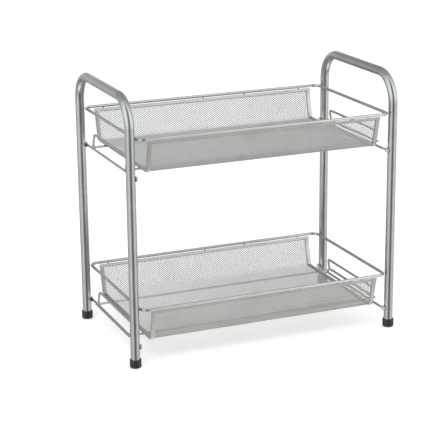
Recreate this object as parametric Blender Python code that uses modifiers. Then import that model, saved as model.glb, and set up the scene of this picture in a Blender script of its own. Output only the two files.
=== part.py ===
"""Tiered spice rack: two bent tube side frames that carry two mesh trays.

Units are metres and +Z is up. X runs along the trays, Y from front (-Y) to rear, and the origin is
on the ground under the middle of the rack. Run it with blender --background --python part.py or
from the text editor.
"""

import math

import bmesh
import bpy
from mathutils import Matrix, Vector

# Overall size, measured over the feet and the tops of the side frames
WIDTH = 0.480
DEPTH = 0.270
HEIGHT = 0.445

# Clearance between pieces that touch or nest
GAP = 0.0003

# Side frames: round steel tube, bend radius on the tube's centre line
TUBE_D = 0.015
TUBE_WALL = 0.0012
TUBE_BEND = 0.047

# Plastic feet, slipped over the tube ends
FOOT_WALL = 0.0017
FOOT_HEIGHT = 0.014
FOOT_FLOOR = 0.003
FOOT_ROUND = 0.003
FOOT_LIP = 0.0006

# Heights of the two trays' rim wires
HANDLE_RISE = 0.0695
LOWER_RIM_Z = 0.0965

# Tray wires
RIM_WIRE_D = 0.005
RIM_CORNER = 0.014
WIRE_D = 0.004
WIRE_BEND = 0.005

# Trough of expanded metal: fall from the rim wire to the floor, run-in of each wall, end inset
TROUGH_FALL = 0.055
WALL_RUN_IN = 0.013
TROUGH_INSET = 0.0169
MESH_THICK = 0.0006
FOLD_RADIUS = 0.005

# Coarse grid of openings that stands in the trough's solid for its fine diamond openings
GRID_COLUMNS = 12
GRID_ROWS = 7
GRID_BAR = 0.0095

# Folded sheet that binds the trough's edges
BINDING_WIDTH = 0.0075
BINDING_SHEET = 0.0005

# Floor wire with its end stops, and the end rods along their feet
FLOOR_WIRE_INSET = 0.0495
STOP_RISE = 0.0218
STOP_LEAN = 0.0031
END_ROD_OVERHANG = 0.002
END_ROD_ANGLE = math.radians(27)

# Side wires' flattened ends
EYELET_D = 0.009
EYELET_THICK = 0.0016
NECK_WIDTH = 0.005
NECK_LENGTH = 0.011

# Self-tapping pan-head screws
SCREW_HEAD_D = 0.0076
SCREW_HEAD_H = 0.0024
SCREW_SHANK_D = 0.0036
SCREW_LENGTH = 0.008
SCREW_TIP = 0.0018
SCREW_HEAD_ROOM = 0.0009
RECESS_LENGTH = 0.0042
RECESS_WIDTH = 0.0009
RECESS_DEPTH = 0.0012

# Outline of the screws' domed heads, as shares of half their width and of their height
SCREW_DOME = ((0.45, 1.0), (0.82, 0.82), (1.0, 0.4))

# Pins that locate the rim wires in the tubes
PIN_D = 0.004
PIN_LENGTH = 0.006

# Smoothness of round shapes
TUBE_BEVEL_STEPS = 6
WIRE_BEVEL_STEPS = 2
TUBE_BEND_STEPS = 8
WIRE_BEND_STEPS = 4
RIM_CORNER_STEPS = 6
FOLD_STEPS = 4
FOOT_STEPS = 24
SCREW_STEPS = 16
HOLE_SIDES = 16
WELD_DISTANCE = 0.00001

# Places that follow from the sizes above
FOOT_D = TUBE_D + 2 * (GAP + FOOT_WALL)
LEG_X = (WIDTH - FOOT_D) / 2
LEG_Y = (DEPTH - FOOT_D) / 2
INNER_X = LEG_X - TUBE_D / 2
RIM_Z = {"upper": HEIGHT - HANDLE_RISE, "lower": LOWER_RIM_Z}
RIM_X = INNER_X - GAP - RIM_WIRE_D / 2
RIM_Y = (DEPTH - RIM_WIRE_D) / 2
TROUGH_X = RIM_X - TROUGH_INSET
FLOOR_Y = RIM_Y - WALL_RUN_IN
BINDING_HALF = MESH_THICK / 2 + GAP + BINDING_SHEET
FLOOR_WIRE_Y = RIM_Y - FLOOR_WIRE_INSET
FLOOR_WIRE_FALL = TROUGH_FALL + BINDING_HALF + GAP + WIRE_D / 2
STOP_X = RIM_X + WIRE_D
SIDE_WIRE_FALL = FLOOR_WIRE_FALL + WIRE_D + GAP
HOLE_D = SCREW_SHANK_D + 2 * GAP
PIN_HOLE_D = PIN_D + 2 * GAP
SIDES = {"left": -1, "right": 1}
ENDS = {"front": -1, "rear": 1}


def clear_scene():
    """Removes whatever objects the open file holds."""
    for thing in list(bpy.data.objects):
        bpy.data.objects.remove(thing)


def new_collection(name):
    """Adds an empty collection to the scene."""
    collection = bpy.data.collections.new(name)
    bpy.context.scene.collection.children.link(collection)
    return collection


def finish(name, colour, roughness, metallic):
    """Makes one Principled material."""
    material = bpy.data.materials.new(name)
    material.use_nodes = True
    shader = material.node_tree.nodes["Principled BSDF"]
    shader.inputs["Base Color"].default_value = (*colour, 1.0)
    shader.inputs["Roughness"].default_value = roughness
    shader.inputs["Metallic"].default_value = metallic
    return material


def add_object(name, data, material, collection):
    """Links a new object and gives it its material."""
    thing = bpy.data.objects.new(name, data)
    collection.objects.link(thing)
    if not data.materials:
        data.materials.append(material)
    return thing


def hide_cutter(thing):
    """Marks an object that only cuts others."""
    thing.hide_render = True
    thing.display_type = "WIRE"


def shade_round(mesh):
    """Smooth shading with sharp edges kept."""
    mesh.shade_smooth()
    mesh.set_sharp_from_angle(angle=math.radians(40))


def as_mesh(thing):
    """Replaces an object by a new one that holds its evaluated, welded mesh."""
    graph = bpy.context.evaluated_depsgraph_get()
    mesh = bpy.data.meshes.new_from_object(thing.evaluated_get(graph))
    work = bmesh.new()
    work.from_mesh(mesh)
    bmesh.ops.remove_doubles(work, verts=work.verts, dist=WELD_DISTANCE)
    work.to_mesh(mesh)
    work.free()
    name = thing.name
    place = thing.matrix_world.copy()
    home = thing.users_collection[0]
    bpy.data.objects.remove(thing)
    made = bpy.data.objects.new(name, mesh)
    made.name = name
    made.matrix_world = place
    home.objects.link(made)
    bpy.context.view_layer.update()
    return made


def rounded(corners, radius, steps, closed=False):
    """Turns each corner of a path into an arc of the radius, in a number of steps."""
    path = []
    count = len(corners)
    for index, corner in enumerate(corners):
        here = Vector(corner)
        if not closed and index in (0, count - 1):
            path.append(here)
            continue
        back = (Vector(corners[index - 1]) - here).normalized()
        ahead = (Vector(corners[(index + 1) % count]) - here).normalized()
        half = back.angle(ahead) / 2
        centre = here + (back + ahead).normalized() * radius / math.sin(half)
        start = here + back * radius / math.tan(half) - centre
        turn = back.cross(ahead)
        for step in range(steps + 1):
            angle = -(math.pi - 2 * half) * step / steps
            path.append(centre + Matrix.Rotation(angle, 3, turn) @ start)
    return path


def wire(name, path, diameter, bevel_steps, material, collection, closed=False):
    """A round wire or bar along a path."""
    curve = bpy.data.curves.new(name, "CURVE")
    curve.dimensions = "3D"
    curve.bevel_depth = diameter / 2
    curve.bevel_resolution = bevel_steps
    curve.use_fill_caps = True
    spline = curve.splines.new("POLY")
    spline.points.add(len(path) - 1)
    for point, place in zip(spline.points, path):
        point.co = (*place, 1.0)
    spline.use_cyclic_u = closed
    spline.use_smooth = True
    return add_object(name, curve, material, collection)


def rod(name, start, end, diameter, sides, material, collection):
    """A straight round bar between two points."""
    axis = Vector(end) - Vector(start)
    turn = axis.to_track_quat("Z", "Y").to_matrix().to_4x4()
    mesh = bpy.data.meshes.new(name)
    work = bmesh.new()
    bmesh.ops.create_cone(
        work,
        cap_ends=True,
        segments=sides,
        radius1=diameter / 2,
        radius2=diameter / 2,
        depth=axis.length,
    )
    work.to_mesh(mesh)
    work.free()
    shade_round(mesh)
    thing = add_object(name, mesh, material, collection)
    thing.matrix_world = Matrix.Translation((Vector(start) + Vector(end)) / 2) @ turn
    return thing


def block(name, low, high, material, collection):
    """A box between two corners."""
    mesh = bpy.data.meshes.new(name)
    work = bmesh.new()
    bmesh.ops.create_cube(work, size=1.0)
    size = Vector(high) - Vector(low)
    middle = (Vector(high) + Vector(low)) / 2
    bmesh.ops.scale(work, vec=size, verts=work.verts)
    bmesh.ops.translate(work, vec=middle, verts=work.verts)
    work.to_mesh(mesh)
    work.free()
    return add_object(name, mesh, material, collection)


def row_of(thing, count, step):
    """Repeats an object a number of times at a step."""
    line = thing.modifiers.new("row", "ARRAY")
    line.count = count
    line.use_relative_offset = False
    line.use_constant_offset = True
    line.constant_offset_displace = step


def turned(name, profile, steps, material, collection):
    """A round shape from its (radius, height) profile, turned about Z."""
    mesh = bpy.data.meshes.new(name)
    points = [(radius, 0.0, height) for radius, height in profile]
    edges = [(index, index + 1) for index in range(len(points) - 1)]
    mesh.from_pydata(points, edges, [])
    thing = add_object(name, mesh, material, collection)
    screw = thing.modifiers.new("turn", "SCREW")
    screw.axis = "Z"
    screw.steps = steps
    screw.render_steps = steps
    screw.use_merge_vertices = True
    screw.merge_threshold = WELD_DISTANCE
    screw.use_smooth_shade = False
    return thing


def combine(thing, other, operation):
    """Boolean of one mesh object with another, kept as a modifier."""
    step = thing.modifiers.new(operation.lower(), "BOOLEAN")
    step.operation = operation
    step.solver = "EXACT"
    step.object = other


def sheet(name, path, low_x, high_x, thickness, material, collection):
    """A sheet of even thickness that follows a path in the YZ plane between two X positions."""
    curve = bpy.data.curves.new(name, "CURVE")
    curve.dimensions = "3D"
    curve.extrude = (high_x - low_x) / 2
    spline = curve.splines.new("POLY")
    spline.points.add(len(path) - 1)
    for point, (_, y, z) in zip(spline.points, path):
        point.co = (y, z, 0.0, 1.0)
    thing = add_object(name, curve, material, collection)
    upright = Matrix(((0, 0, 1, 0), (1, 0, 0, 0), (0, 1, 0, 0), (0, 0, 0, 1)))
    thing.matrix_world = Matrix.Translation(((low_x + high_x) / 2, 0, 0)) @ upright
    bpy.context.view_layer.update()
    made = as_mesh(thing)
    made.data.materials.clear()
    made.data.materials.append(material)
    solid = made.modifiers.new("thickness", "SOLIDIFY")
    solid.thickness = thickness
    solid.offset = 0.0
    solid.use_even_offset = True
    return made


def section(rim_z, start):
    """The trough's middle line in the YZ plane, from a distance below the rim wire on each wall."""
    wall = Vector((0, -WALL_RUN_IN, -TROUGH_FALL)).normalized()
    rear = Vector((0, RIM_Y, rim_z)) + wall * start
    front = Vector((0, -rear.y, rear.z))
    corners = [
        front,
        Vector((0, -FLOOR_Y, rim_z - TROUGH_FALL)),
        Vector((0, FLOOR_Y, rim_z - TROUGH_FALL)),
        rear,
    ]
    return rounded(corners, FOLD_RADIUS, FOLD_STEPS)


def side_frame(side, material, collection, cutters):
    """One tube bent to an upside-down U, with the holes for pins and screws in its inner wall."""
    x = SIDES[side] * LEG_X
    top = HEIGHT - TUBE_D / 2
    bottom = FOOT_FLOOR + GAP
    name = f"{side}_side_frame"
    ends = {}
    for part, z in (("tube", bottom), ("bore", bottom - TUBE_WALL)):
        corners = [(x, -LEG_Y, z), (x, -LEG_Y, top), (x, LEG_Y, top), (x, LEG_Y, z)]
        ends[part] = rounded(corners, TUBE_BEND, TUBE_BEND_STEPS)
    tube = as_mesh(wire(name, ends["tube"], TUBE_D, TUBE_BEVEL_STEPS, material, collection))
    bore_d = TUBE_D - 2 * TUBE_WALL
    bore = as_mesh(wire(name + "_bore", ends["bore"], bore_d, TUBE_BEVEL_STEPS, material, cutters))
    combine(tube, bore, "DIFFERENCE")
    hide_cutter(bore)
    inner = SIDES[side] * (INNER_X - TUBE_WALL)
    for rim_z in RIM_Z.values():
        for sign in ENDS.values():
            for z, hole_d in ((rim_z, PIN_HOLE_D), (rim_z - SIDE_WIRE_FALL, HOLE_D)):
                hole = rod(
                    name + "_hole",
                    (inner, sign * LEG_Y, z),
                    (x, sign * LEG_Y, z),
                    hole_d,
                    HOLE_SIDES,
                    material,
                    cutters,
                )
                combine(tube, hole, "DIFFERENCE")
                hide_cutter(hole)
    shade_round(tube.data)
    return tube


def foot(name, x, y, material, collection):
    """A plastic cup over a tube end."""
    outer = FOOT_D / 2
    inner = TUBE_D / 2 + GAP
    arc = [math.radians(angle) for angle in (0, 30, 60, 90)]
    bottom = [
        (outer - FOOT_ROUND * (1 - math.cos(a)), FOOT_ROUND * (1 - math.sin(a))) for a in arc
    ]
    profile = [
        (0.0, FOOT_FLOOR),
        (inner, FOOT_FLOOR),
        (inner, FOOT_HEIGHT),
        (outer - FOOT_LIP, FOOT_HEIGHT),
        (outer, FOOT_HEIGHT - FOOT_LIP),
        *bottom,
        (0.0, 0.0),
    ]
    thing = turned(name, profile, FOOT_STEPS, material, collection)
    thing.location = (x, y, 0.0)
    return thing


def screw_mesh(material, collection, cutters):
    """Pan head, cross recess and pointed shank, along local Z with the head's seat at zero."""
    head = SCREW_HEAD_D / 2
    shank = SCREW_SHANK_D / 2
    dome = [(across * head, up * SCREW_HEAD_H) for across, up in SCREW_DOME]
    profile = [
        (0.0, SCREW_HEAD_H),
        *dome,
        (head, 0.0),
        (shank, 0.0),
        (shank, SCREW_TIP - SCREW_LENGTH),
        (0.0, -SCREW_LENGTH),
    ]
    body = as_mesh(turned("screw", profile, SCREW_STEPS, material, collection))
    for turn in range(2):
        size = [RECESS_LENGTH / 2, RECESS_WIDTH / 2]
        x, y = size[turn], size[1 - turn]
        bar = block(
            "recess",
            (-x, -y, SCREW_HEAD_H - RECESS_DEPTH),
            (x, y, SCREW_HEAD_H + RECESS_DEPTH),
            material,
            cutters,
        )
        combine(body, bar, "DIFFERENCE")
        hide_cutter(bar)
    bpy.context.view_layer.update()
    body = as_mesh(body)
    mesh = body.data
    mesh.materials.clear()
    mesh.materials.append(material)
    shade_round(mesh)
    bpy.data.objects.remove(body)
    return mesh


def place_screw(name, mesh, side, y, z, collection):
    """A screw through an eyelet, its head towards the middle of the rack."""
    seat = INNER_X - GAP - EYELET_THICK - GAP
    thing = bpy.data.objects.new(name, mesh)
    collection.objects.link(thing)
    turn = Matrix.Rotation(-SIDES[side] * math.pi / 2, 4, "Y")
    thing.matrix_world = Matrix.Translation((SIDES[side] * seat, y, z)) @ turn
    return thing


def rim_wire(tier, rim_z, material, collection):
    """The closed rectangle of wire that the trough's walls hang from."""
    corners = [
        (-RIM_X, -RIM_Y, rim_z),
        (RIM_X, -RIM_Y, rim_z),
        (RIM_X, RIM_Y, rim_z),
        (-RIM_X, RIM_Y, rim_z),
    ]
    path = rounded(corners, RIM_CORNER, RIM_CORNER_STEPS, closed=True)
    name = f"{tier}_rim_wire"
    return wire(name, path, RIM_WIRE_D, WIRE_BEVEL_STEPS, material, collection, closed=True)


def floor_wire(tier, rim_z, material, collection):
    """One closed wire: under the floor at front and rear, and up at both ends as a jar stop."""
    low = rim_z - FLOOR_WIRE_FALL
    high = low + STOP_RISE
    top_x = STOP_X - STOP_LEAN
    corners = [
        (-STOP_X, -FLOOR_WIRE_Y, low),
        (STOP_X, -FLOOR_WIRE_Y, low),
        (top_x, -FLOOR_WIRE_Y, high),
        (top_x, FLOOR_WIRE_Y, high),
        (STOP_X, FLOOR_WIRE_Y, low),
        (-STOP_X, FLOOR_WIRE_Y, low),
        (-top_x, FLOOR_WIRE_Y, high),
        (-top_x, -FLOOR_WIRE_Y, high),
    ]
    path = rounded(corners, WIRE_BEND, WIRE_BEND_STEPS, closed=True)
    name = f"{tier}_floor_wire"
    return wire(name, path, WIRE_D, WIRE_BEVEL_STEPS, material, collection, closed=True)


def end_rod(tier, side, rim_z, material, collection):
    """A straight rod that lies in the outer curve of the floor wire's two upturned feet."""
    reach = WIRE_BEND + WIRE_D + GAP
    half_corner = (math.pi / 2 - math.atan2(STOP_LEAN, STOP_RISE)) / 2
    bend_x = STOP_X - WIRE_BEND / math.tan(half_corner)
    x = bend_x + reach * math.cos(END_ROD_ANGLE)
    z = rim_z - FLOOR_WIRE_FALL + WIRE_BEND - reach * math.sin(END_ROD_ANGLE)
    half = FLOOR_WIRE_Y + END_ROD_OVERHANG
    path = [(SIDES[side] * x, -half, z), (SIDES[side] * x, half, z)]
    return wire(f"{tier}_{side}_end_rod", path, WIRE_D, WIRE_BEVEL_STEPS, material, collection)


def side_wire(tier, side, rim_z, material, collection, cutters):
    """A straight wire from leg to leg, flattened and drilled at both ends."""
    sign = SIDES[side]
    z = rim_z - SIDE_WIRE_FALL
    face = INNER_X - GAP
    centre_x = sign * (face - WIRE_D / 2 - WELD_DISTANCE)
    reach = LEG_Y - SCREW_HEAD_D / 2 - SCREW_HEAD_ROOM
    path = [(centre_x, -reach, z), (centre_x, reach, z)]
    name = f"{tier}_{side}_side_wire"
    bar = as_mesh(wire(name, path, WIRE_D, WIRE_BEVEL_STEPS, material, collection))
    plate_x = sorted((sign * face, sign * (face - EYELET_THICK)))
    for end in ENDS.values():
        y = end * LEG_Y
        disc = rod(
            name + "_disc", (plate_x[0], y, z), (plate_x[1], y, z), EYELET_D, HOLE_SIDES, material, cutters
        )
        across = sorted((y, y - end * NECK_LENGTH))
        neck = block(
            name + "_neck",
            (plate_x[0], across[0], z - NECK_WIDTH / 2),
            (plate_x[1], across[1], z + NECK_WIDTH / 2),
            material,
            cutters,
        )
        hole = rod(
            name + "_hole",
            (plate_x[0] - WIRE_D, y, z),
            (plate_x[1] + WIRE_D, y, z),
            HOLE_D,
            HOLE_SIDES,
            material,
            cutters,
        )
        for other, operation in ((disc, "UNION"), (neck, "UNION"), (hole, "DIFFERENCE")):
            combine(bar, other, operation)
            hide_cutter(other)
    shade_round(bar.data)
    return bar


def top_binding(tier, end, rim_z, material, collection, cutters):
    """A strip folded over a wall's top edge, just under the rim wire."""
    start = RIM_WIRE_D / 2 + GAP
    wall = Vector((0, -WALL_RUN_IN, -TROUGH_FALL)).normalized()
    name = f"{tier}_{end}_binding"
    lines = {}
    for part, near, far in (
        ("strip", start, start + BINDING_WIDTH),
        ("slot", start + BINDING_SHEET, start + BINDING_WIDTH + BINDING_SHEET),
    ):
        points = [Vector((0, RIM_Y, rim_z)) + wall * near, Vector((0, RIM_Y, rim_z)) + wall * far]
        lines[part] = [(0, ENDS[end] * point.y, point.z) for point in points]
    strip = sheet(name, lines["strip"], -TROUGH_X, TROUGH_X, 2 * BINDING_HALF, material, collection)
    slot_thick = MESH_THICK + 2 * GAP
    reach = TROUGH_X + BINDING_SHEET
    slot = sheet(name + "_slot", lines["slot"], -reach, reach, slot_thick, material, cutters)
    combine(strip, slot, "DIFFERENCE")
    hide_cutter(slot)
    return strip


def end_binding(tier, side, rim_z, material, collection, cutters):
    """A strip folded over the trough's end edge, round both folds, between the top bindings."""
    name = f"{tier}_{side}_binding"
    start = RIM_WIRE_D / 2 + GAP + BINDING_WIDTH + GAP
    outer = TROUGH_X
    inner = TROUGH_X - BINDING_WIDTH
    along = sorted((SIDES[side] * inner, SIDES[side] * outer))
    path = section(rim_z, start)
    strip = sheet(name, path, along[0], along[1], 2 * BINDING_HALF, material, collection)
    slot_end = outer - BINDING_SHEET
    slot_start = inner - BINDING_SHEET
    cut = sorted((SIDES[side] * slot_start, SIDES[side] * slot_end))
    slot_thick = MESH_THICK + 2 * GAP
    slot = sheet(
        name + "_slot",
        section(rim_z, start - BINDING_SHEET),
        cut[0],
        cut[1],
        slot_thick,
        material,
        cutters,
    )
    combine(strip, slot, "DIFFERENCE")
    hide_cutter(slot)
    return strip


def trough(tier, rim_z, material, collection, cutters):
    """The folded sheet: floor, front wall and rear wall, its edges inside the bindings."""
    start = RIM_WIRE_D / 2 + GAP + BINDING_SHEET + GAP
    reach = TROUGH_X - BINDING_SHEET - GAP
    name = f"{tier}_mesh_trough"
    folded = sheet(name, section(rim_z, start), -reach, reach, MESH_THICK, material, collection)
    half_x = TROUGH_X - BINDING_WIDTH
    half_y = FLOOR_Y - FOLD_RADIUS
    step_x = (2 * half_x - GRID_BAR) / GRID_COLUMNS
    step_y = (2 * half_y - GRID_BAR) / GRID_ROWS
    near_x = GRID_BAR - half_x
    near_y = GRID_BAR - half_y
    floor_z = rim_z - TROUGH_FALL
    floor_cut = block(
        name + "_floor_openings",
        (near_x, near_y, floor_z - FOLD_RADIUS),
        (near_x + step_x - GRID_BAR, near_y + step_y - GRID_BAR, floor_z + FOLD_RADIUS),
        material,
        cutters,
    )
    row_of(floor_cut, GRID_COLUMNS, (step_x, 0, 0))
    row_of(floor_cut, GRID_ROWS, (0, step_y, 0))
    wall_cut = block(
        name + "_wall_openings",
        (near_x, -DEPTH, floor_z + FOLD_RADIUS + GRID_BAR / 2),
        (near_x + step_x - GRID_BAR, DEPTH, rim_z - RIM_WIRE_D / 2 - BINDING_WIDTH - GRID_BAR / 2),
        material,
        cutters,
    )
    row_of(wall_cut, GRID_COLUMNS, (step_x, 0, 0))
    for cut in (floor_cut, wall_cut):
        combine(folded, cut, "DIFFERENCE")
        hide_cutter(cut)
    return folded


def rim_pin(tier, end, side, rim_z, material, collection):
    """A short pin from the rim wire through the tube's inner wall."""
    sign = SIDES[side]
    y = ENDS[end] * LEG_Y
    return rod(
        f"{tier}_rim_pin_{end}_{side}",
        (sign * INNER_X, y, rim_z),
        (sign * (INNER_X + PIN_LENGTH), y, rim_z),
        PIN_D,
        HOLE_SIDES,
        material,
        collection,
    )


def main():
    """Builds the side frames and feet, then each tray."""
    clear_scene()
    rack = new_collection("tiered_spice_rack")
    cutters = new_collection("cutters")
    painted = finish("silver_tube", (0.40, 0.418, 0.405), 0.25, 0.9)
    bright = finish("silver_wire", (0.445, 0.455, 0.44), 0.25, 0.9)
    netting = finish("silver_mesh", (0.455, 0.455, 0.435), 0.36, 0.8)
    strip = finish("silver_binding", (0.46, 0.458, 0.44), 0.32, 0.85)
    plated = finish("zinc_screw", (0.72, 0.72, 0.70), 0.3, 1.0)
    plastic = finish("black_plastic", (0.010, 0.011, 0.013), 0.5, 0.0)
    screw = screw_mesh(plated, cutters, cutters)
    for side in SIDES:
        side_frame(side, painted, rack, cutters)
        for end in ENDS:
            foot(f"foot_{end}_{side}", SIDES[side] * LEG_X, ENDS[end] * LEG_Y, plastic, rack)
    for tier, rim_z in RIM_Z.items():
        rim_wire(tier, rim_z, bright, rack)
        trough(tier, rim_z, netting, rack, cutters)
        floor_wire(tier, rim_z, bright, rack)
        for end in ENDS:
            top_binding(tier, end, rim_z, strip, rack, cutters)
        for side in SIDES:
            end_binding(tier, side, rim_z, strip, rack, cutters)
            end_rod(tier, side, rim_z, bright, rack)
            side_wire(tier, side, rim_z, bright, rack, cutters)
            for end in ENDS:
                rim_pin(tier, end, side, rim_z, bright, rack)
                y = ENDS[end] * LEG_Y
                z = rim_z - SIDE_WIRE_FALL
                place_screw(f"{tier}_screw_{end}_{side}", screw, side, y, z, rack)


main()
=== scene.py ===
"""Tiered spice rack: the surfaces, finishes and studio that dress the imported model.

Lengths are metres in the model's own frame: X along the trays, Y from front to rear, Z up.
"""

import math

import bpy
import numpy as np
from bpy.props import FloatProperty, FloatVectorProperty, IntProperty, PointerProperty
from mathutils import Matrix, Vector


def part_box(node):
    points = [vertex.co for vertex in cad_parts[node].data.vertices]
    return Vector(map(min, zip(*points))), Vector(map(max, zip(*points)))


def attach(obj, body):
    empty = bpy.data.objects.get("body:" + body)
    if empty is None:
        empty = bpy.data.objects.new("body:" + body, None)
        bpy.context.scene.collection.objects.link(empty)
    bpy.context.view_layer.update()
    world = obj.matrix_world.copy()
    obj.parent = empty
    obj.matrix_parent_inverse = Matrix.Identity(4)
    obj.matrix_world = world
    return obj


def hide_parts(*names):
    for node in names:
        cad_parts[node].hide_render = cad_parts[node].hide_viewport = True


bl_info = {
    "name": "Tiered Spice Rack",
    "version": (1, 0, 0),
    "blender": (4, 5, 0),
    "location": "3D View > Sidebar > Spice Rack",
    "description": "Builds the tubes, wires, expanded-metal trays and finishes of a tiered spice rack",
    "category": "Object",
}

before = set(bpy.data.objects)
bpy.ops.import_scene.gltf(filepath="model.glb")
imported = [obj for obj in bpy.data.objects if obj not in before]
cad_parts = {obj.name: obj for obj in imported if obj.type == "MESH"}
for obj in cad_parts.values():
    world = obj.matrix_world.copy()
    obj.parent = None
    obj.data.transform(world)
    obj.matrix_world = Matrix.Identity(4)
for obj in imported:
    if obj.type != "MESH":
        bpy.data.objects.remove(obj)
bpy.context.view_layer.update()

TIERS = ("upper", "lower")
SIDES = {"left": -1, "right": 1}
ENDS = {"front": -1, "rear": 1}


def middle(node):
    """The centre of a CAD node's box."""
    low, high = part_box(node)
    return (np.array(low) + np.array(high)) / 2


def extent(node):
    """The lengths of a CAD node's box."""
    low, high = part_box(node)
    return np.array(high) - np.array(low)


TUBE_D = float(extent("left_side_frame")[0])
RIM_D = float(extent("upper_rim_wire")[2])
ROD_D = float(extent("upper_left_end_rod")[2])
PLATE = 0.0006  # the solids' troughs are this thick
FIT = 0.0003  # gap between a cap and its tube, and between two bindings
AXIS = 0.0001  # radius at which a turned piece closes
HEAD_HEIGHT = 0.0024  # of a screw
TACKS = (-0.187, -0.0035, 0.0745, 0.181)  # places along a rim where its binding is tacked on


class TubeSizes(bpy.types.PropertyGroup):
    """Sizes of the bent side tubes and their feet."""

    diameter: FloatProperty(
        name="Tube diameter", description="Outside of the side tubes", default=TUBE_D, unit="LENGTH"
    )
    bend: FloatProperty(
        name="Bend radius",
        description="Radius of the tube's middle line at a bend",
        default=0.047,
        unit="LENGTH",
    )
    flattening: FloatProperty(
        name="Bend flattening", description="How much thinner the tube gets across a bend", default=0.03
    )
    foot_round: FloatProperty(
        name="Foot rounding", description="Radius round the foot's lower edge", default=0.003, unit="LENGTH"
    )


class WireSizes(bpy.types.PropertyGroup):
    """Sizes of the wires, eyelets and welds."""

    rim: FloatProperty(
        name="Rim wire", description="Thickness of the rim wires", default=RIM_D, unit="LENGTH"
    )
    rim_corner: FloatProperty(
        name="Rim corner", description="Radius at the rim wire's corners", default=0.014, unit="LENGTH"
    )
    rod: FloatProperty(
        name="Thin wire", description="Thickness of the other wires", default=ROD_D, unit="LENGTH"
    )
    bend: FloatProperty(
        name="Stop bend", description="Radius at the bends of the floor wire", default=0.005, unit="LENGTH"
    )
    lean: FloatProperty(
        name="Stop lean", description="How far the stop's top leans inwards", default=0.0031, unit="LENGTH"
    )
    eyelet: FloatProperty(
        name="Eyelet", description="Width of the side wire's round end", default=0.009, unit="LENGTH"
    )
    eyelet_thickness: FloatProperty(
        name="Eyelet thickness", description="Thickness of the flattened end", default=0.0016, unit="LENGTH"
    )
    weld: FloatProperty(
        name="Weld", description="Half the length of a weld bead", default=0.0021, unit="LENGTH"
    )


class MeshSizes(bpy.types.PropertyGroup):
    """Sizes of the expanded metal and its bindings."""

    long_way: FloatProperty(
        name="Opening length",
        description="Pitch of the openings along the tray",
        default=0.006,
        unit="LENGTH",
    )
    short_way: FloatProperty(
        name="Opening height",
        description="Pitch of the openings across the tray",
        default=0.0034,
        unit="LENGTH",
    )
    strand: FloatProperty(name="Strand width", description="Width of a strand", default=0.0009, unit="LENGTH")
    sheet: FloatProperty(
        name="Strand thickness", description="Thickness of a strand", default=0.00045, unit="LENGTH"
    )
    tilt: FloatProperty(
        name="Strand tilt",
        description="How far the strands are turned out of the sheet",
        default=math.radians(27),
        subtype="ANGLE",
    )
    fold: FloatProperty(
        name="Fold radius", description="Radius of the trough's folds", default=0.005, unit="LENGTH"
    )
    wall_run: FloatProperty(
        name="Wall run-in",
        description="How far a wall runs in from rim to floor",
        default=0.013,
        unit="LENGTH",
    )
    binding: FloatProperty(
        name="Binding width", description="Width of the folded bindings", default=0.0075, unit="LENGTH"
    )
    rim_gap: FloatProperty(
        name="Rim gap",
        description="Slot between a rim wire and the binding tacked to it",
        default=0.0013,
        unit="LENGTH",
    )
    short_lip: FloatProperty(
        name="Short lip",
        description="Width of a top binding's lip towards the front",
        default=0.0048,
        unit="LENGTH",
    )
    long_lip: FloatProperty(
        name="Long lip",
        description="Width of a top binding's lip towards the rear",
        default=0.0056,
        unit="LENGTH",
    )
    binding_sheet: FloatProperty(
        name="Binding sheet", description="Thickness of the bindings' sheet", default=0.0005, unit="LENGTH"
    )


class FinishColours(bpy.types.PropertyGroup):
    """Colours of the finishes."""

    tube: FloatVectorProperty(
        name="Tube", description="Painted side tubes", default=(0.40, 0.418, 0.405), subtype="COLOR", size=3
    )
    wire: FloatVectorProperty(
        name="Wire", description="Painted wires", default=(0.445, 0.455, 0.44), subtype="COLOR", size=3
    )
    mesh: FloatVectorProperty(
        name="Mesh",
        description="Painted expanded metal",
        default=(0.455, 0.455, 0.435),
        subtype="COLOR",
        size=3,
    )
    binding: FloatVectorProperty(
        name="Binding", description="Painted bindings", default=(0.46, 0.458, 0.44), subtype="COLOR", size=3
    )
    screw: FloatVectorProperty(
        name="Screw", description="Zinc-plated screws", default=(0.72, 0.72, 0.70), subtype="COLOR", size=3
    )
    foot: FloatVectorProperty(
        name="Foot", description="Black plastic feet", default=(0.010, 0.011, 0.013), subtype="COLOR", size=3
    )


class StudioSizes(bpy.types.PropertyGroup):
    """The camera, the lamps and the floor."""

    place: FloatVectorProperty(
        name="Camera place",
        description="Where the camera stands",
        default=(-0.9691, -2.2541, 0.9175),
        subtype="TRANSLATION",
        size=3,
    )
    yaw: FloatProperty(
        name="Yaw",
        description="Camera's turn to the right of straight ahead",
        default=math.radians(22.452),
        subtype="ANGLE",
    )
    pitch: FloatProperty(
        name="Pitch", description="Camera's tilt below level", default=math.radians(16.428), subtype="ANGLE"
    )
    roll: FloatProperty(name="Roll", description="Camera's roll", default=math.radians(0.61), subtype="ANGLE")
    lens: FloatProperty(name="Lens", description="Focal length in millimetres", default=125.58)
    key: FloatProperty(name="Key lamp", description="Power of the large lamp", default=30.0, unit="POWER")
    fill: FloatProperty(name="Fill lamp", description="Power of the side lamp", default=10.0, unit="POWER")
    sky: FloatProperty(name="Room light", description="Strength of the even light", default=0.75)
    gap: FloatProperty(
        name="Dark gap",
        description="Heading of the dark gap between the soft boxes",
        default=math.radians(11),
        subtype="ANGLE",
    )
    floor_half: FloatProperty(name="Floor", description="Half the floor's width", default=6.0, unit="LENGTH")
    floor_steps: IntProperty(name="Floor steps", description="Rows of faces across the floor", default=24)


def unit(vectors):
    """Vectors scaled to length one."""
    return vectors / np.linalg.norm(vectors, axis=-1, keepdims=True)


def smooth(t):
    """Rises from 0 to 1 as t goes from 0 to 1, level at both ends: 3t^2 - 2t^3."""
    t = np.clip(t, 0.0, 1.0)
    return t * t * (3.0 - 2.0 * t)


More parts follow.
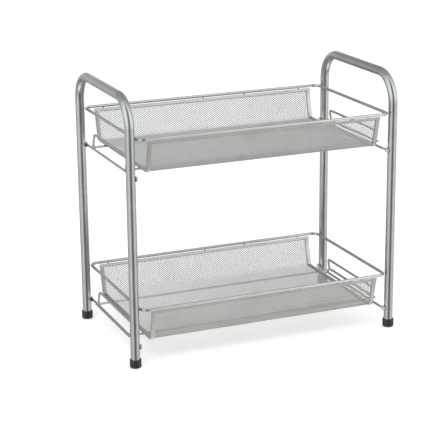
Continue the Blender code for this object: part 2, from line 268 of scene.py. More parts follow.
def bent(corners, radius, steps, closed=False):
    """A path of straight runs with an arc at each corner.

    At a corner with half angle h the arc's centre is radius / sin(h) along the bisector, and the arc
    turns through pi - 2h. An open path keeps its first and last points as they are.
    """
    at = np.asarray(corners, float)
    back = unit(np.roll(at, 1, axis=0) - at)
    ahead = unit(np.roll(at, -1, axis=0) - at)
    half = np.arccos(np.clip(np.sum(back * ahead, axis=1), -1, 1)) / 2
    inward = unit(back + ahead)
    across = unit(ahead - back)
    centre = at + inward * (radius / np.sin(half))[:, None]
    turn = np.linspace(-0.5, 0.5, steps + 1) * (math.pi - 2 * half)[:, None]
    points = (
        centre[:, None]
        - inward[:, None] * radius * np.cos(turn)[..., None]
        + across[:, None] * radius * np.sin(turn)[..., None]
    )
    if closed:
        return points.reshape(-1, 3)
    return np.vstack([at[:1], points[1:-1].reshape(-1, 3), at[-1:]])


def course(path, closed=False):
    """The direction of a path at each of its points, from the point before to the point after."""
    if closed:
        return unit(np.roll(path, -1, axis=0) - np.roll(path, 1, axis=0))
    held = np.vstack([path[:1], path, path[-1:]])
    return unit(held[2:] - held[:-2])


def axes(path, reference, closed=False):
    """Side and lift axes at each point of a path: both square to the path, side also to the reference.

    Side is the reference crossed with the path's direction, and lift is the direction crossed with side.
    """
    along = course(path, closed)
    side = unit(np.cross(np.broadcast_to(reference, along.shape), along))
    return side, np.cross(along, side)


def carried(path, side, lift, profile):
    """Rings of a profile carried along a path: point + side * profile x + lift * profile y."""
    profile = np.asarray(profile, float)
    if profile.ndim == 2:
        profile = np.broadcast_to(profile, (len(path), *profile.shape))
    return path[:, None] + side[:, None] * profile[..., :1] + lift[:, None] * profile[..., 1:]


def arc(first, last, count):
    """Points of the unit circle from one angle in degrees to another."""
    angle = np.radians(np.linspace(first, last, count))
    return np.stack([np.cos(angle), np.sin(angle)], axis=-1)


def circle(radius, count):
    """A round profile, counterclockwise, or one for each radius in an array."""
    angle = np.arange(count) * math.tau / count
    return np.stack([np.cos(angle), np.sin(angle)], axis=-1) * np.asarray(radius)[..., None, None]


def skin(rings, closed=False):
    """Vertices and faces of a closed surface through rings, given as an array (ring, point, xyz).

    Points run counterclockwise seen against the path, which turns the faces outwards. An open run of
    rings is closed by one face at each end.
    """
    count, around = rings.shape[:2]
    index = np.arange(count * around).reshape(count, around)
    here, there = (index, np.roll(index, -1, axis=0)) if closed else (index[:-1], index[1:])
    faces = np.stack([here, np.roll(here, -1, 1), np.roll(there, -1, 1), there], axis=-1)
    faces = faces.reshape(-1, 4).tolist()
    if not closed:
        faces += [index[0, ::-1].tolist(), index[-1].tolist()]
    return rings.reshape(-1, 3), faces


def joined(skins):
    """Several skins as one."""
    places = []
    faces = []
    base = 0
    for points, parts in skins:
        places.append(points)
        faces += [[corner + base for corner in part] for part in parts]
        base += len(points)
    return np.vstack(places), faces


def add_piece(name, points, faces, slot, nodes=(), sharp=40):
    """A mesh object in its slot's finish, which rides on the rack's one body and stands for CAD nodes."""
    mesh = bpy.data.meshes.new(name)
    mesh.from_pydata(points, [], faces)
    mesh.update()
    mesh.shade_smooth()
    mesh.set_sharp_from_angle(angle=math.radians(sharp))
    mesh.materials.append(finish(slot))
    thing = bpy.data.objects.new(name, mesh)
    bpy.context.scene.collection.objects.link(thing)
    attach(thing, "root")
    if nodes:
        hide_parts(*nodes)


def turned(profile, count):
    """Rings of a profile of (radius, height) points turned about Z."""
    radius, height = np.asarray(profile, float).T
    flat = circle(radius, count)
    return np.concatenate([flat, np.broadcast_to(height[:, None, None], (*flat.shape[:2], 1))], axis=-1)


class Signal:
    """A socket of a node tree. Operators on it add Math nodes."""

    def __init__(self, tree, socket=None):
        self.tree = tree
        self.socket = socket

    def node(self, kind, settings=None, values=None, output=0):
        """Adds a node of a type, sets its settings, then its sockets' values or links."""
        made = self.tree.nodes.new(kind)
        for name, value in (settings or {}).items():
            if name == "stops":
                ramp = made.color_ramp.elements
                while len(ramp) < len(value):
                    ramp.new(0.5)
                for element, (position, colour) in zip(ramp, value):
                    element.position = position
                    element.color = colour
            else:
                setattr(made, name, value)
        for name, value in (values or {}).items():
            if isinstance(value, Signal):
                self.tree.links.new(value.socket, made.inputs[name])
            else:
                made.inputs[name].default_value = value
        return Signal(self.tree, made.outputs[output])

    def maths(self, operation, *terms):
        """A Math node on sockets and numbers."""
        return self.node("ShaderNodeMath", {"operation": operation}, dict(enumerate(terms)))

    def __add__(self, other):
        return self.maths("ADD", self, other)

    __radd__ = __add__

    def __sub__(self, other):
        return self.maths("SUBTRACT", self, other)

    def __rsub__(self, other):
        return self.maths("SUBTRACT", other, self)

    def __mul__(self, other):
        return self.maths("MULTIPLY", self, other)

    __rmul__ = __mul__

    def clamp(self, low, high, to_low=0.0, to_high=1.0):
        """Maps low..high to to_low..to_high and holds the ends."""
        values = {0: self, 1: low, 2: high, 3: to_low, 4: to_high}
        return self.node("ShaderNodeMapRange", {"clamp": True}, values)

    def part(self, axis):
        """One coordinate of this vector."""
        return self.node("ShaderNodeSeparateXYZ", values={"Vector": self}, output=axis)

    def mix(self, first, second):
        """Blends two colours by this value."""
        return self.node("ShaderNodeMix", {"data_type": "RGBA"}, {0: self, 6: first, 7: second}, output=2)

    def ramp(self, *stops):
        """A grey ramp over 0..1 through (position, value) stops."""
        greys = [(position, (value, value, value, 1.0)) for position, value in stops]
        return self.node("ShaderNodeValToRGB", {"stops": greys}, {0: self})

    def vector(self, operation, *terms, output="Vector"):
        """A Vector Math node on this vector and other terms."""
        return self.node(
            "ShaderNodeVectorMath", {"operation": operation}, dict(enumerate((self, *terms))), output=output
        )


def start_finish(name, metallic):
    """A Principled material, its shader and the signal of a point's place on the object."""
    material = bpy.data.materials.new(name)
    material.use_nodes = True
    tree = material.node_tree
    shader = tree.nodes["Principled BSDF"]
    shader.inputs["Metallic"].default_value = metallic
    place = Signal(tree).node("ShaderNodeTexCoord", output="Object")
    return material, shader, place


def wear(shader, name, signal):
    """Feeds a signal into one of the shader's sockets."""
    signal.tree.links.new(signal.socket, shader.inputs[name])


def bump(shader, height, strength, distance):
    """Bumps the shader's surface by a height signal, where a height of one is the distance."""
    values = {"Strength": strength, "Distance": distance, "Height": height}
    wear(shader, "Normal", height.node("ShaderNodeBump", values=values))


def cloud(place, size, detail=3.0):
    """Soft noise of a feature size in metres, about 0 to 1."""
    values = {"Vector": place, "Scale": 1.0 / size, "Detail": detail, "Roughness": 0.55}
    return place.node("ShaderNodeTexNoise", values=values)


def shade(colour, factor):
    """A colour times a factor, with alpha one."""
    return (*(min(1.0, part * factor) for part in colour), 1.0)


def silver_paint(name, colour, metallic, gloss, peel, lumps):
    """Metallic silver paint: clouding with a fifth of flake glitter, and orange peel.

    Peel is the orange peel's width and lumps its height.
    """
    material, shader, place = start_finish(name, metallic)
    clouding = cloud(place, 0.035)
    flake = cloud(place, 0.0007, detail=1.0)
    blend = 0.8 * clouding + 0.2 * flake
    wear(shader, "Base Color", blend.clamp(0.3, 0.7).mix(shade(colour, 0.90), shade(colour, 1.08)))
    wear(shader, "Roughness", blend.clamp(0.25, 0.75, gloss - 0.05, gloss + 0.06))
    bump(shader, cloud(place, peel, detail=2.0), strength=0.5, distance=lumps)
    return material


def zinc(name, colour):
    """Bright zinc plate: a faint bloom and a fine uneven grain."""
    material, shader, place = start_finish(name, 1.0)
    bloom = cloud(place, 0.002)
    wear(shader, "Base Color", bloom.clamp(0.3, 0.7).mix(shade(colour, 0.85), shade(colour, 1.1)))
    wear(shader, "Roughness", bloom.clamp(0.3, 0.7, 0.34, 0.50))
    bump(shader, cloud(place, 0.0002, detail=1.0), strength=0.1, distance=0.0001)
    return material


def moulded(name, colour):
    """Black moulded plastic: a fine grain, and scuffs that fade out 3 mm above the ground."""
    material, shader, place = start_finish(name, 0.0)
    grain = cloud(place, 0.0006, detail=2.0)
    patch = cloud(place, 0.006)
    scuff = place.part("Z").clamp(0.0, 0.003, 1.0, 0.0) * patch.clamp(0.45, 0.7)
    wear(shader, "Base Color", scuff.mix(shade(colour, 1.0), shade(colour, 2.6)))
    wear(shader, "Roughness", (0.5 * grain + 0.5 * patch).clamp(0.3, 0.7, 0.40, 0.58))
    bump(shader, grain, strength=0.25, distance=0.0002)
    return material


# By slot: name, maker, colour, and for paint also metallic, roughness, peel and lumps
FINISHES = {
    "silver_tube": ("Silver tube paint", silver_paint, "tube", 0.90, 0.23, 0.0024, 0.000003),
    "silver_wire": ("Silver wire paint", silver_paint, "wire", 0.90, 0.24, 0.0014, 0.00001),
    "silver_mesh": ("Silver mesh paint", silver_paint, "mesh", 0.80, 0.36, 0.0008, 0.00002),
    "silver_binding": ("Silver binding paint", silver_paint, "binding", 0.85, 0.32, 0.0014, 0.00002),
    "zinc_screw": ("Zinc plate", zinc, "screw"),
    "black_plastic": ("Black plastic", moulded, "foot"),
}


def finish(slot):
    """A slot's finish, made on first use from the scene's colours."""
    name, maker, colour, *rest = FINISHES[slot]
    known = bpy.data.materials.get(name)
    if known is not None:
        return known
    return maker(name, getattr(bpy.context.scene.spice_rack_colours, colour), *rest)


class RACK_OT_side_tubes(bpy.types.Operator):
    """Bends the two side tubes whose tops are the handles"""

    bl_idname = "spice_rack.side_tubes"
    bl_label = "Side Tubes"

    def execute(self, context):
        sizes = context.scene.spice_rack_tubes
        for side in SIDES:
            node = f"{side}_side_frame"
            low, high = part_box(node)
            radius = sizes.diameter / 2
            x = middle(node)[0]
            legs = high[1] - radius
            top = high[2] - radius
            corners = [(x, -legs, low[2]), (x, -legs, top), (x, legs, top), (x, legs, low[2])]
            path = bent(corners, sizes.bend, steps=28)
            # Halfway round a bend both steps are a half, so four times their product peaks at one
            bends = smooth((path[:, 2] - (top - sizes.bend)) / sizes.bend)
            bends = bends * smooth((np.abs(path[:, 1]) - (legs - sizes.bend)) / sizes.bend)
            squeeze = 4.0 * bends * sizes.flattening
            spread = 0.6 * squeeze
            side_axis, lift_axis = axes(path, (1.0, 0.0, 0.0))
            profile = circle(radius, count=40) * np.stack([1 - squeeze, 1 + spread], axis=-1)[:, None]
            points, faces = skin(carried(path, side_axis, lift_axis, profile))
            add_piece(f"{side}_side_tube", points, faces, "silver_tube", [node])
        return {"FINISHED"}


class RACK_OT_feet(bpy.types.Operator):
    """Moulds the plastic cap on each tube end"""

    bl_idname = "spice_rack.feet"
    bl_label = "Feet"

    def execute(self, context):
        sizes = context.scene.spice_rack_tubes
        rounding = sizes.foot_round
        inner = sizes.diameter / 2 + FIT
        lip = 0.0007
        floor = 0.0035
        for end in ENDS:
            for side in SIDES:
                node = f"foot_{end}_{side}"
                outer = extent(node)[0] / 2
                height = extent(node)[2]
                profile = np.vstack(
                    [
                        [(AXIS, 0.0)],
                        arc(-90, 0, 9) * rounding + (outer - rounding, rounding),
                        arc(0, 90, 5) * lip + (outer - lip, height - lip),
                        [(inner, height), (inner, floor), (AXIS, floor)],
                    ]
                )
                place = middle(node) * (1, 1, 0)
                points, faces = skin(turned(profile, count=48) + place)
                add_piece(f"{node}_cap", points, faces, "black_plastic", [node])
        return {"FINISHED"}


class RACK_OT_rim_wires(bpy.types.Operator):
    """Bends each tray's rim wire, a closed loop with round corners"""

    bl_idname = "spice_rack.rim_wires"
    bl_label = "Rim Wires"

    def execute(self, context):
        sizes = context.scene.spice_rack_wires
        radius = sizes.rim / 2
        for tier in TIERS:
            node = f"{tier}_rim_wire"
            z = middle(node)[2]
            x, y = extent(node)[:2] / 2 - radius
            corners = [(-x, -y, z), (x, -y, z), (x, y, z), (-x, y, z)]
            path = bent(corners, sizes.rim_corner, steps=14, closed=True)
            side_axis, lift_axis = axes(path, (0.0, 0.0, 1.0), closed=True)
            rings = carried(path, side_axis, lift_axis, circle(radius, count=24))
            points, faces = skin(rings, closed=True)
            add_piece(f"{tier}_rim", points, faces, "silver_wire", [node])
        return {"FINISHED"}


class RACK_OT_floor_wires(bpy.types.Operator):
    """Bends each tray's floor wire, whose upturned ends keep the jars in"""

    bl_idname = "spice_rack.floor_wires"
    bl_label = "Floor Wires"

    def execute(self, context):
        sizes = context.scene.spice_rack_wires
        radius = sizes.rod / 2
        for tier in TIERS:
            node = f"{tier}_floor_wire"
            low, high = (np.array(corner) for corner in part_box(node))
            x, y, top = high - radius
            bottom = low[2] + radius
            inner = x - sizes.lean
            corners = [
                (-x, -y, bottom),
                (x, -y, bottom),
                (inner, -y, top),
                (inner, y, top),
                (x, y, bottom),
                (-x, y, bottom),
                (-inner, y, top),
                (-inner, -y, top),
            ]
            path = bent(corners, sizes.bend, steps=10, closed=True)
            side_axis, lift_axis = axes(path, (1.0, 1.0, 1.0), closed=True)
            rings = carried(path, side_axis, lift_axis, circle(radius, count=20))
            points, faces = skin(rings, closed=True)
            add_piece(f"{tier}_floor_loop", points, faces, "silver_wire", [node])
        return {"FINISHED"}


class RACK_OT_end_rods(bpy.types.Operator):
    """Cuts the straight rods that join the feet of each stop"""

    bl_idname = "spice_rack.end_rods"
    bl_label = "End Rods"

    def execute(self, context):
        radius = context.scene.spice_rack_wires.rod / 2
        chamfer = 0.0005
        for tier in TIERS:
            for side in SIDES:
                node = f"{tier}_{side}_end_rod"
                x, _, z = middle(node)
                half = extent(node)[1] / 2
                ends = np.array([-half, chamfer - half, half - chamfer, half])
                path = np.stack([np.full(4, x), ends, np.full(4, z)], axis=-1)
                radii = np.array([radius - chamfer, radius, radius, radius - chamfer])
                side_axis, lift_axis = axes(path, (0.0, 0.0, 1.0))
                points, faces = skin(carried(path, side_axis, lift_axis, circle(radii, count=20)))
                add_piece(f"{tier}_{side}_rod", points, faces, "silver_wire", [node])
        return {"FINISHED"}


class RACK_OT_side_wires(bpy.types.Operator):
    """Forges the side wires, which are round in the middle and flat at the screws"""

    bl_idname = "spice_rack.side_wires"
    bl_label = "Side Wires"

    def execute(self, context):
        sizes = context.scene.spice_rack_wires
        inwards, half_thick, profile = side_wire_sections(sizes)
        for tier in TIERS:
            for side, sign in SIDES.items():
                node = f"{tier}_{side}_side_wire"
                low, high = (np.array(corner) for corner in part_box(node))
                hole_y = high[1] - sizes.eyelet / 2
                outer = high[0] if sign > 0 else -low[0]
                y = np.concatenate([inwards - hole_y, (hole_y - inwards)[::-1]])
                path = np.stack([sign * (outer - half_thick), y, np.full(len(y), middle(node)[2])], axis=-1)
                side_axis = np.broadcast_to((-1.0, 0.0, 0.0), path.shape)
                lift_axis = np.broadcast_to((0.0, 0.0, 1.0), path.shape)
                points, faces = skin(carried(path, side_axis, lift_axis, profile))
                add_piece(f"{tier}_{side}_tie", points, faces, "silver_wire", [node])
        return {"FINISHED"}


def side_wire_sections(sizes):
    """Places of one half's sections inwards from the hole, and all half thicknesses and profiles.

    A profile is a superellipse of the power 5 - 3 * neck, and neck rises smoothly from 0 in the flat
    end to 1 in the round wire. The flat end is a disc round the hole and then an even strap.
    """
    round_half = sizes.rod / 2
    flat_half = sizes.eyelet_thickness / 2
    disc = sizes.eyelet / 2
    strap_half, strap_start, neck_start, neck_end = 0.0025, 0.0042, 0.006, 0.0125
    sweep = np.radians(np.linspace(-88, 56, 19))
    inwards = np.concatenate([np.sin(sweep) * disc, np.linspace(strap_start, neck_end, 13)])
    neck = smooth((inwards - neck_start) / (neck_end - neck_start))
    width = np.sqrt(np.maximum(disc**2 - inwards**2, 0.0))
    plate = np.where(inwards > 0, np.maximum(width, strap_half), width)
    half_height = mirrored(plate + (round_half - plate) * neck)
    half_thick = mirrored(flat_half + (round_half - flat_half) * neck)
    power = mirrored(2.0 / (5.0 - 3.0 * neck))
    ring = circle(1.0, count=24)
    profile = np.sign(ring) * np.abs(ring) ** power[:, None, None]
    return inwards, half_thick, profile * np.stack([half_thick, half_height], axis=-1)[:, None]


def mirrored(values):
    """Values from one end to the middle, followed by the same from the middle to the other end."""
    return np.concatenate([values, values[::-1]])


class RACK_OT_screws(bpy.types.Operator):
    """Turns the pan-head screws and presses their cross recesses"""

    bl_idname = "spice_rack.screws"
    bl_label = "Screws"

    def execute(self, context):
        for tier in TIERS:
            for end in ENDS:
                for side, sign in SIDES.items():
                    node = f"{tier}_screw_{end}_{side}"
                    place = middle(node)
                    length, width, _ = extent(node)
                    rings = screw_rings(width / 2, length)
                    local = np.stack([-sign * rings[..., 2], sign * rings[..., 1], rings[..., 0]], axis=-1)
                    seat = place[0] + sign * (HEAD_HEIGHT - length / 2)
                    points, faces = skin(local + (seat, place[1], place[2]))
                    add_piece(f"{node}_head", points, faces, "zinc_screw", [node])
        return {"FINISHED"}


def screw_rings(head, length):
    """Rings of a pan-head screw about Z, its head's seat at zero, from the point up to the recess.

    The head's top is a dome, height * (1 - 0.55 * (radius / head)^4), less a cross of two wings. A
    wing is a smooth step at its reach times a smooth step at its side, which tapers outwards.
    """
    shank = 0.0018
    tip = HEAD_HEIGHT - length
    edge = 0.0002
    stem = [(AXIS, tip), (shank, tip + shank), (shank, 0.0), (head - edge, 0.0), (head, edge)]
    radii = np.concatenate([np.linspace(head, 0.6 * head, 7), np.linspace(0.57 * head, AXIS, 13)])
    dome = np.stack([radii, HEAD_HEIGHT * (1 - 0.55 * (radii / head) ** 4)], axis=-1)
    rings = turned(np.vstack([stem, dome]), count=64)
    x, y = np.abs(rings[..., 0]), np.abs(rings[..., 1])
    reach, half_width, taper, depth = 0.0021, 0.00055, 0.06, 0.0012
    reach_step, side_step = 0.0003, 0.0002
    wings = [
        smooth((reach - out) / reach_step) * smooth((half_width - taper * out - beside) / side_step)
        for out, beside in ((x, y), (y, x))
    ]
    cut = depth * np.maximum(*wings)
    cut[: len(stem)] = 0.0
    rings[..., 2] -= cut
    return rings


def hem_profile(width, thickness, sheet):
    """A strip of sheet folded double: a U with a round nose at zero and its mouth at the width.

    Counterclockwise: along the lower face, in round the slot, and back round the nose.
    """
    outer = thickness / 2
    inner = outer - sheet
    turn = arc(270, 90, 11)
    slot = turn * inner + (outer, 0.0)
    nose = turn[::-1] * outer + (outer, 0.0)
    return np.vstack([[(width, -outer), (width, -inner)], slot, [(width, inner), (width, outer)], nose])


def trough_line(z, start, sizes):
    """The trough's middle line from the front wall's top, down, along the floor and up the rear wall.

    Each wall lies on the straight line from the rim wire's centre to the floor's corner. The line
    begins at a distance from that centre, the start.
    """
    rim_y = extent("upper_rim_wire")[1] / 2 - RIM_D / 2
    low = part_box("upper_mesh_trough")[0][2] + PLATE / 2
    fall = middle("upper_rim_wire")[2] - low
    floor_y = rim_y - sizes.wall_run
    down = unit(np.array([0.0, -sizes.wall_run, -fall]))
    top = np.array([0.0, rim_y, z]) + down * start
    corners = [top * (1, -1, 1), (0.0, -floor_y, z - fall), (0.0, floor_y, z - fall), top]
    return bent(corners, sizes.fold, steps=8)


class RACK_OT_bindings(bpy.types.Operator):
    """Folds the strips that bind the trough's four edges"""

    bl_idname = "spice_rack.bindings"
    bl_label = "Bindings"

    def execute(self, context):
        sizes = context.scene.spice_rack_mesh
        thickness = 0.0022
        overlap = 0.0002
        end_profile = hem_profile(sizes.binding, thickness, sizes.binding_sheet)
        top_profile = hem_profile(sizes.short_lip, thickness, sizes.binding_sheet)
        # A top binding is a hem as wide as its short lip, and a flat strip makes its rear lip longer
        lip_start, lip_end = sizes.short_lip - overlap, sizes.long_lip
        under, over = thickness / 2 - sizes.binding_sheet, thickness / 2
        lip = [(lip_start, under), (lip_end, under), (lip_end, over), (lip_start, over)]
        start = RIM_D / 2 + sizes.rim_gap
        for tier in TIERS:
            z = middle(f"{tier}_rim_wire")[2]
            half = extent(f"{tier}_front_binding")[0] / 2
            line = trough_line(z, start, sizes)
            runs = {}
            for end, top, lower in (("front", line[0], line[1]), ("rear", line[-1], line[-2])):
                runs[end] = top + np.array([(-half, 0.0, 0.0), (half, 0.0, 0.0)]), unit(lower - top)
            line = trough_line(z, start + sizes.short_lip + FIT, sizes)
            for side, sign in SIDES.items():
                runs[side] = line + (sign * half, 0.0, 0.0), np.array([-sign, 0.0, 0.0])
            for edge, (path, across) in runs.items():
                side_axis = np.broadcast_to(across, path.shape)
                lift_axis = np.cross(course(path), side_axis)
                if edge in SIDES:
                    strips = [skin(carried(path, side_axis, lift_axis, end_profile))]
                else:
                    inset = path * ((half - sizes.binding) / half, 1, 1)
                    strips = [
                        skin(carried(path, side_axis, lift_axis, top_profile)),
                        skin(carried(inset, side_axis, lift_axis, lip)),
                    ]
                points, faces = joined(strips)
                name = f"{tier}_{edge}_binding"
                add_piece(f"{name}_strip", points, faces, "silver_binding", [name])
        return {"FINISHED"}


class RACK_OT_mesh_troughs(bpy.types.Operator):
    """Lays the expanded metal of both trays out of real strands"""

    bl_idname = "spice_rack.mesh_troughs"
    bl_label = "Mesh Troughs"

    def execute(self, context):
        sizes = context.scene.spice_rack_mesh
        inside_binding = 0.0008
        start = RIM_D / 2 + sizes.rim_gap + inside_binding
        for tier in TIERS:
            node = f"{tier}_mesh_trough"
            z = middle(f"{tier}_rim_wire")[2]
            half = extent(node)[0] / 2
            line = trough_line(z, start, sizes)
            points, faces = joined([strands(line, half, slope, sizes) for slope in (1, -1)])
            add_piece(f"{tier}_expanded_metal", points, faces, "silver_mesh", [node])
        return {"FINISHED"}


def strands(line, half, slope, sizes):
    """One family of parallel strands laid on the folded sheet.

    On the unrolled sheet a strand is the line u = u0 + slope * (long way / short way) * s, with u
    along the tray and s along the folded line. Its four-sided section is turned by the tilt about
    the strand, and all of it is laid on the fold through the line's own place and normal at s.
    """
    reach = np.concatenate([[0.0], np.cumsum(np.linalg.norm(np.diff(line, axis=0), axis=1))])
    total = reach[-1]
    rate = slope * sizes.long_way / sizes.short_way
    first, last = min(-half, -half - rate * total), max(half, half - rate * total)
    starts = np.arange(first + sizes.long_way / 2, last, sizes.long_way)
    limits = np.clip(np.sort(np.stack([-half - starts, half - starts], axis=-1) / rate, axis=-1), 0, total)
    keep = limits[:, 1] - limits[:, 0] > sizes.short_way / 2
    starts, limits = starts[keep, None], limits[keep]
    s = np.clip(reach[None], limits[:, :1], limits[:, 1:])
    place = np.stack([starts + rate * s, *(np.interp(s, reach, line[:, axis]) for axis in (1, 2))], axis=-1)
    way = course(line)
    down = unit(np.stack([np.interp(s, reach, way[:, axis]) for axis in range(3)], axis=-1))
    along = np.array([1.0, 0.0, 0.0])
    run = unit(rate * along + down)
    across = slope * unit(rate * down - along)
    wide = across * math.cos(sizes.tilt) + np.cross(down, along) * math.sin(sizes.tilt)
    thick = np.cross(run, wide) * sizes.sheet / 2
    wide = wide * sizes.strand / 2
    ring = place[:, :, None] + np.stack([wide - thick, wide + thick, thick - wide, -wide - thick], axis=2)
    count, knots = s.shape
    least_step = 1e-7
    fresh = np.diff(s, axis=1, prepend=-1.0) > least_step
    label = np.cumsum(fresh, axis=1) - 1 + np.arange(count)[:, None] * knots
    index = label[..., None] * 4 + np.arange(4)
    here, there = index[:, :-1][fresh[:, 1:]], index[:, 1:][fresh[:, 1:]]
    sides = np.stack([here, np.roll(here, -1, 1), np.roll(there, -1, 1), there], axis=-1).reshape(-1, 4)
    points = np.zeros((count * knots * 4, 3))
    points[index.reshape(-1)] = ring.reshape(-1, 3)
    wanted, faces = np.unique(np.concatenate([sides, index[:, 0, ::-1], index[:, -1]]), return_inverse=True)
    return points[wanted], faces.reshape(-1, 4).tolist()


class RACK_OT_welds(bpy.types.Operator):
    """Adds the weld beads where wires cross and where bindings are tacked on"""

    bl_idname = "spice_rack.welds"
    bl_label = "Welds"

    def execute(self, context):
        weld = context.scene.spice_rack_wires.weld
        tack = 0.7 * weld
        above_rod, inside_rim, below_rim = 0.0006, 0.0008, 0.0005
        for tier in TIERS:
            rod_y = extent(f"{tier}_floor_wire")[1] / 2 - ROD_D / 2
            rod_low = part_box(f"{tier}_floor_wire")[0][2]
            rim_low = middle(f"{tier}_rim_wire")[2] - RIM_D / 2
            rim_y = extent(f"{tier}_rim_wire")[1] / 2 - RIM_D / 2
            places = []
            for side, sign in SIDES.items():
                tie_x = middle(f"{tier}_{side}_side_wire")[0]
                end_rod = middle(f"{tier}_{side}_end_rod")
                bend_x = sign * (abs(end_rod[0]) - ROD_D / 2)
                for end_sign in ENDS.values():
                    places.append((tie_x, end_sign * rod_y, rod_low, weld))
                    places.append((bend_x, end_sign * rod_y, end_rod[2] + above_rod, weld))
            for end_sign in ENDS.values():
                for x in TACKS:
                    places.append((x, end_sign * (rim_y - inside_rim), rim_low - below_rim, tack))
            beads = [skin(bead(place, half, index)) for index, (*place, half) in enumerate(places)]
            points, faces = joined(beads)
            add_piece(f"{tier}_welds", points, faces, "silver_wire", sharp=80)
        return {"FINISHED"}


def bead(place, size, seed):
    """Rings of a small lumpy bead, 0.75 as wide and 0.6 as high as it is long.

    It is an ellipsoid whose radius swells by 12 % in three soft lobes, turned by the seed.
    """
    count = 14
    rise = np.radians(np.linspace(-85, 85, 9))
    turn = np.arange(count) * math.tau / count
    lobes = 1 + 0.12 * np.sin(3 * turn[None, :] + seed) * np.cos(2 * rise[:, None] + 1.7 * seed)
    flat = np.cos(rise)[:, None] * lobes
    shape = np.stack(
        [flat * np.cos(turn), 0.75 * flat * np.sin(turn), 0.6 * np.sin(rise)[:, None] * lobes], axis=-1
    )
    return np.asarray(place) + size * shape


class RACK_OT_pins(bpy.types.Operator):
    """Gives the hidden rim pins the wires' finish"""

    bl_idname = "spice_rack.pins"
    bl_label = "Rim Pins"

    def execute(self, context):
        for name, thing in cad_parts.items():
            if "_rim_pin_" in name:
                for holder in thing.material_slots:
                    holder.material = finish("silver_wire")
        return {"FINISHED"}


class RACK_OT_studio(bpy.types.Operator):
    """Sets up the pale floor, the soft lamps and the camera"""

    bl_idname = "spice_rack.studio"
    bl_label = "Studio"

    def execute(self, context):
        studio = context.scene.spice_rack_studio
        context.scene.view_settings.view_transform = "Standard"
        add_floor(studio)
        add_sky(studio)
        add_lamp("Key lamp", place=(-1.6, -1.4, 2.6), size=1.6, power=studio.key)
        add_lamp("Fill lamp", place=(2.4, -0.6, 1.6), size=1.2, power=studio.fill)
        add_camera(studio)
        return {"FINISHED"}


def add_floor(studio):
    """A level floor of quads just below zero, which keeps the shadow and stays out of reflections.

    To the camera it also glows by the lift, which brings its lit grey up to white.
    """
    drop, grey, lift = 0.0002, 0.80, 0.42
    line = np.linspace(-studio.floor_half, studio.floor_half, studio.floor_steps + 1)
    x, y = np.meshgrid(line, line)
    points = np.stack([x.ravel(), y.ravel(), np.full(x.size, -drop)], axis=-1)
    index = np.arange(x.size).reshape(x.shape)
    faces = np.stack([index[:-1, :-1], index[:-1, 1:], index[1:, 1:], index[1:, :-1]], axis=-1).reshape(-1, 4)
    mesh = bpy.data.meshes.new("studio_floor")
    mesh.from_pydata(points, [], faces.tolist())
    material = bpy.data.materials.new("Studio floor")
    material.use_nodes = True
    tree = material.node_tree
    tree.nodes.remove(tree.nodes["Principled BSDF"])
    start = Signal(tree)
    pale = start.node("ShaderNodeBsdfDiffuse", values={"Color": (grey, grey, grey, 1.0)})
    seen = ray(start, "Camera") + ray(start, "Transmission")
    glow = start.node("ShaderNodeEmission", values={"Color": (1.0, 1.0, 1.0, 1.0), "Strength": lift * seen})
    both = start.node("ShaderNodeAddShader", values={0: pale, 1: glow})
    tree.links.new(both.socket, tree.nodes["Material Output"].inputs["Surface"])
    mesh.materials.append(material)
    floor = bpy.data.objects.new("studio_floor", mesh)
    bpy.context.scene.collection.objects.link(floor)
    floor.visible_glossy = False


def ray(start, kind):
    """One for rays of a kind, zero for others."""
    return start.node("ShaderNodeLightPath", output=f"Is {kind} Ray")


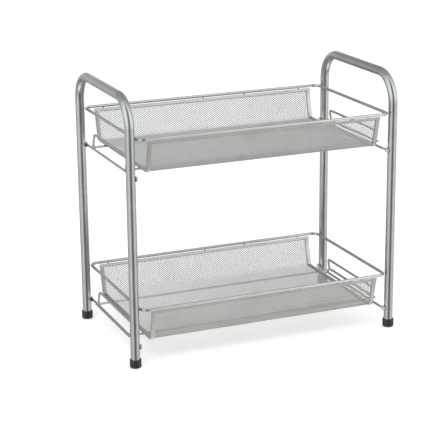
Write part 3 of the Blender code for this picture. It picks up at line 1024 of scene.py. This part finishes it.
def add_sky(studio):
    """A white room: even light for dull surfaces, and for gloss soft boxes with a dark gap between.

    The gap and the boxes are a ramp on the cosine between a ray's heading and the gap's. It is
    multiplied by a ramp on the ray's height, of which the room's front and its rear have one each.
    The rear's also has a darker ring, a ramp on how nearly a ray points straight to the rear. Gloss
    is tinted warm low down, cool high up and blue in the gap.
    """
    world = bpy.data.worlds.new("Studio room")
    bpy.context.scene.world = world
    world.use_nodes = True
    tree = world.node_tree
    start = Signal(tree)
    way = start.node("ShaderNodeTexCoord", output="Generated")
    level = way.vector("MULTIPLY", (1.0, 1.0, 0.0)).vector("NORMALIZE")
    gap = (-math.sin(studio.gap), -math.cos(studio.gap), 0.0)
    facing = 0.5 + 0.5 * level.vector("DOT_PRODUCT", gap, output="Value")
    around = facing.ramp(
        (0.0, 0.48), (0.12, 0.50), (0.29, 0.61), (0.50, 0.74), (0.75, 1.0), (0.854, 1.0),
        (0.919, 0.64), (0.970, 0.40), (0.989, 0.12), (1.0, 0.10),
    )
    rearward = 0.5 + 0.5 * way.part("Y")
    ring = rearward.ramp((0.86, 1.0), (0.905, 0.62), (0.935, 0.72), (0.95, 0.92), (0.965, 1.0), (1.0, 1.0))
    height = 0.5 + 0.5 * way.part("Z")
    behind = height.ramp(
        (0.0, 0.67), (0.09, 0.63), (0.15, 0.28), (0.235, 0.28), (0.30, 0.43), (0.36, 0.45),
        (0.50, 0.60), (0.58, 0.60), (0.66, 0.46), (0.80, 0.36), (1.0, 0.40),
    )
    before = height.ramp(
        (0.0, 0.87), (0.10, 0.80), (0.155, 0.28), (0.235, 0.28), (0.30, 0.44), (0.36, 0.45),
        (0.44, 0.54), (0.58, 0.78), (0.68, 0.78), (0.85, 0.66), (1.0, 0.50),
    )
    ahead = facing.clamp(0.25, 0.60)
    level_of_gloss = 3.0
    gloss = level_of_gloss * around * (ahead * before + (1.0 - ahead) * ring * behind)
    white = ray(start, "Camera") + ray(start, "Transmission")
    glossy = ray(start, "Glossy")
    strength = white + glossy * gloss + studio.sky * (1.0 - white - glossy)
    plain, warm = (1.0, 1.0, 1.0, 1.0), (1.01, 1.0, 0.965, 1.0)
    cool, blue = (0.95, 1.0, 1.03, 1.0), (0.88, 0.97, 1.25, 1.0)
    tint = facing.clamp(0.975, 0.99).mix(height.clamp(0.45, 0.72).mix(warm, cool), blue)
    colour = glossy.mix(plain, tint)
    background = tree.nodes["Background"]
    tree.links.new(colour.socket, background.inputs["Color"])
    tree.links.new(strength.socket, background.inputs["Strength"])


def add_lamp(name, place, size, power):
    """A square area lamp that points at the rack's middle."""
    light = bpy.data.lights.new(name, "AREA")
    light.energy = power
    light.size = size
    lamp = bpy.data.objects.new(name, light)
    bpy.context.scene.collection.objects.link(lamp)
    lamp.location = place
    aim = Vector((0.0, 0.0, 0.2)) - Vector(place)
    lamp.visible_glossy = False
    lamp.rotation_mode = "QUATERNION"
    lamp.rotation_quaternion = aim.to_track_quat("-Z", "Y")


def add_camera(studio):
    """A camera turned by yaw about Z, tilted by pitch and rolled about its own axis."""
    data = bpy.data.cameras.new("Camera")
    data.lens = studio.lens
    data.sensor_width = 36.0
    camera = bpy.data.objects.new("Camera", data)
    bpy.context.scene.collection.objects.link(camera)
    turn = Matrix.Rotation(-studio.yaw, 4, "Z") @ Matrix.Rotation(math.pi / 2 - studio.pitch, 4, "X")
    camera.matrix_world = Matrix.Translation(studio.place) @ turn @ Matrix.Rotation(-studio.roll, 4, "Z")
    bpy.context.scene.camera = camera


OPERATORS = (
    RACK_OT_side_tubes,
    RACK_OT_feet,
    RACK_OT_rim_wires,
    RACK_OT_floor_wires,
    RACK_OT_end_rods,
    RACK_OT_side_wires,
    RACK_OT_screws,
    RACK_OT_bindings,
    RACK_OT_mesh_troughs,
    RACK_OT_welds,
    RACK_OT_pins,
    RACK_OT_studio,
)

GROUPS = {
    "spice_rack_tubes": TubeSizes,
    "spice_rack_wires": WireSizes,
    "spice_rack_mesh": MeshSizes,
    "spice_rack_colours": FinishColours,
    "spice_rack_studio": StudioSizes,
}


class RACK_PT_build(bpy.types.Panel):
    """Lists the rack's sizes, colours and build steps"""

    bl_idname = "RACK_PT_build"
    bl_label = "Spice Rack"
    bl_space_type = "VIEW_3D"
    bl_region_type = "UI"
    bl_category = "Spice Rack"

    def draw(self, context):
        for group, kind in GROUPS.items():
            box = self.layout.box()
            for name in kind.__annotations__:
                box.prop(getattr(context.scene, group), name)
        for step in OPERATORS:
            self.layout.operator(step.bl_idname)


def register():
    """Registers the sizes, the operators and the panel."""
    for kind in (*GROUPS.values(), *OPERATORS, RACK_PT_build):
        bpy.utils.register_class(kind)
    for name, kind in GROUPS.items():
        setattr(bpy.types.Scene, name, PointerProperty(type=kind))


def unregister():
    """Takes back what register added."""
    for name in GROUPS:
        delattr(bpy.types.Scene, name)
    for kind in (RACK_PT_build, *reversed(OPERATORS), *reversed(GROUPS.values())):
        bpy.utils.unregister_class(kind)


def main():
    """Registers the add-on, then builds every piece and the studio."""
    register()
    for step in OPERATORS:
        group, name = step.bl_idname.split(".")
        getattr(getattr(bpy.ops, group), name)()


if __name__ == "__main__":
    main()
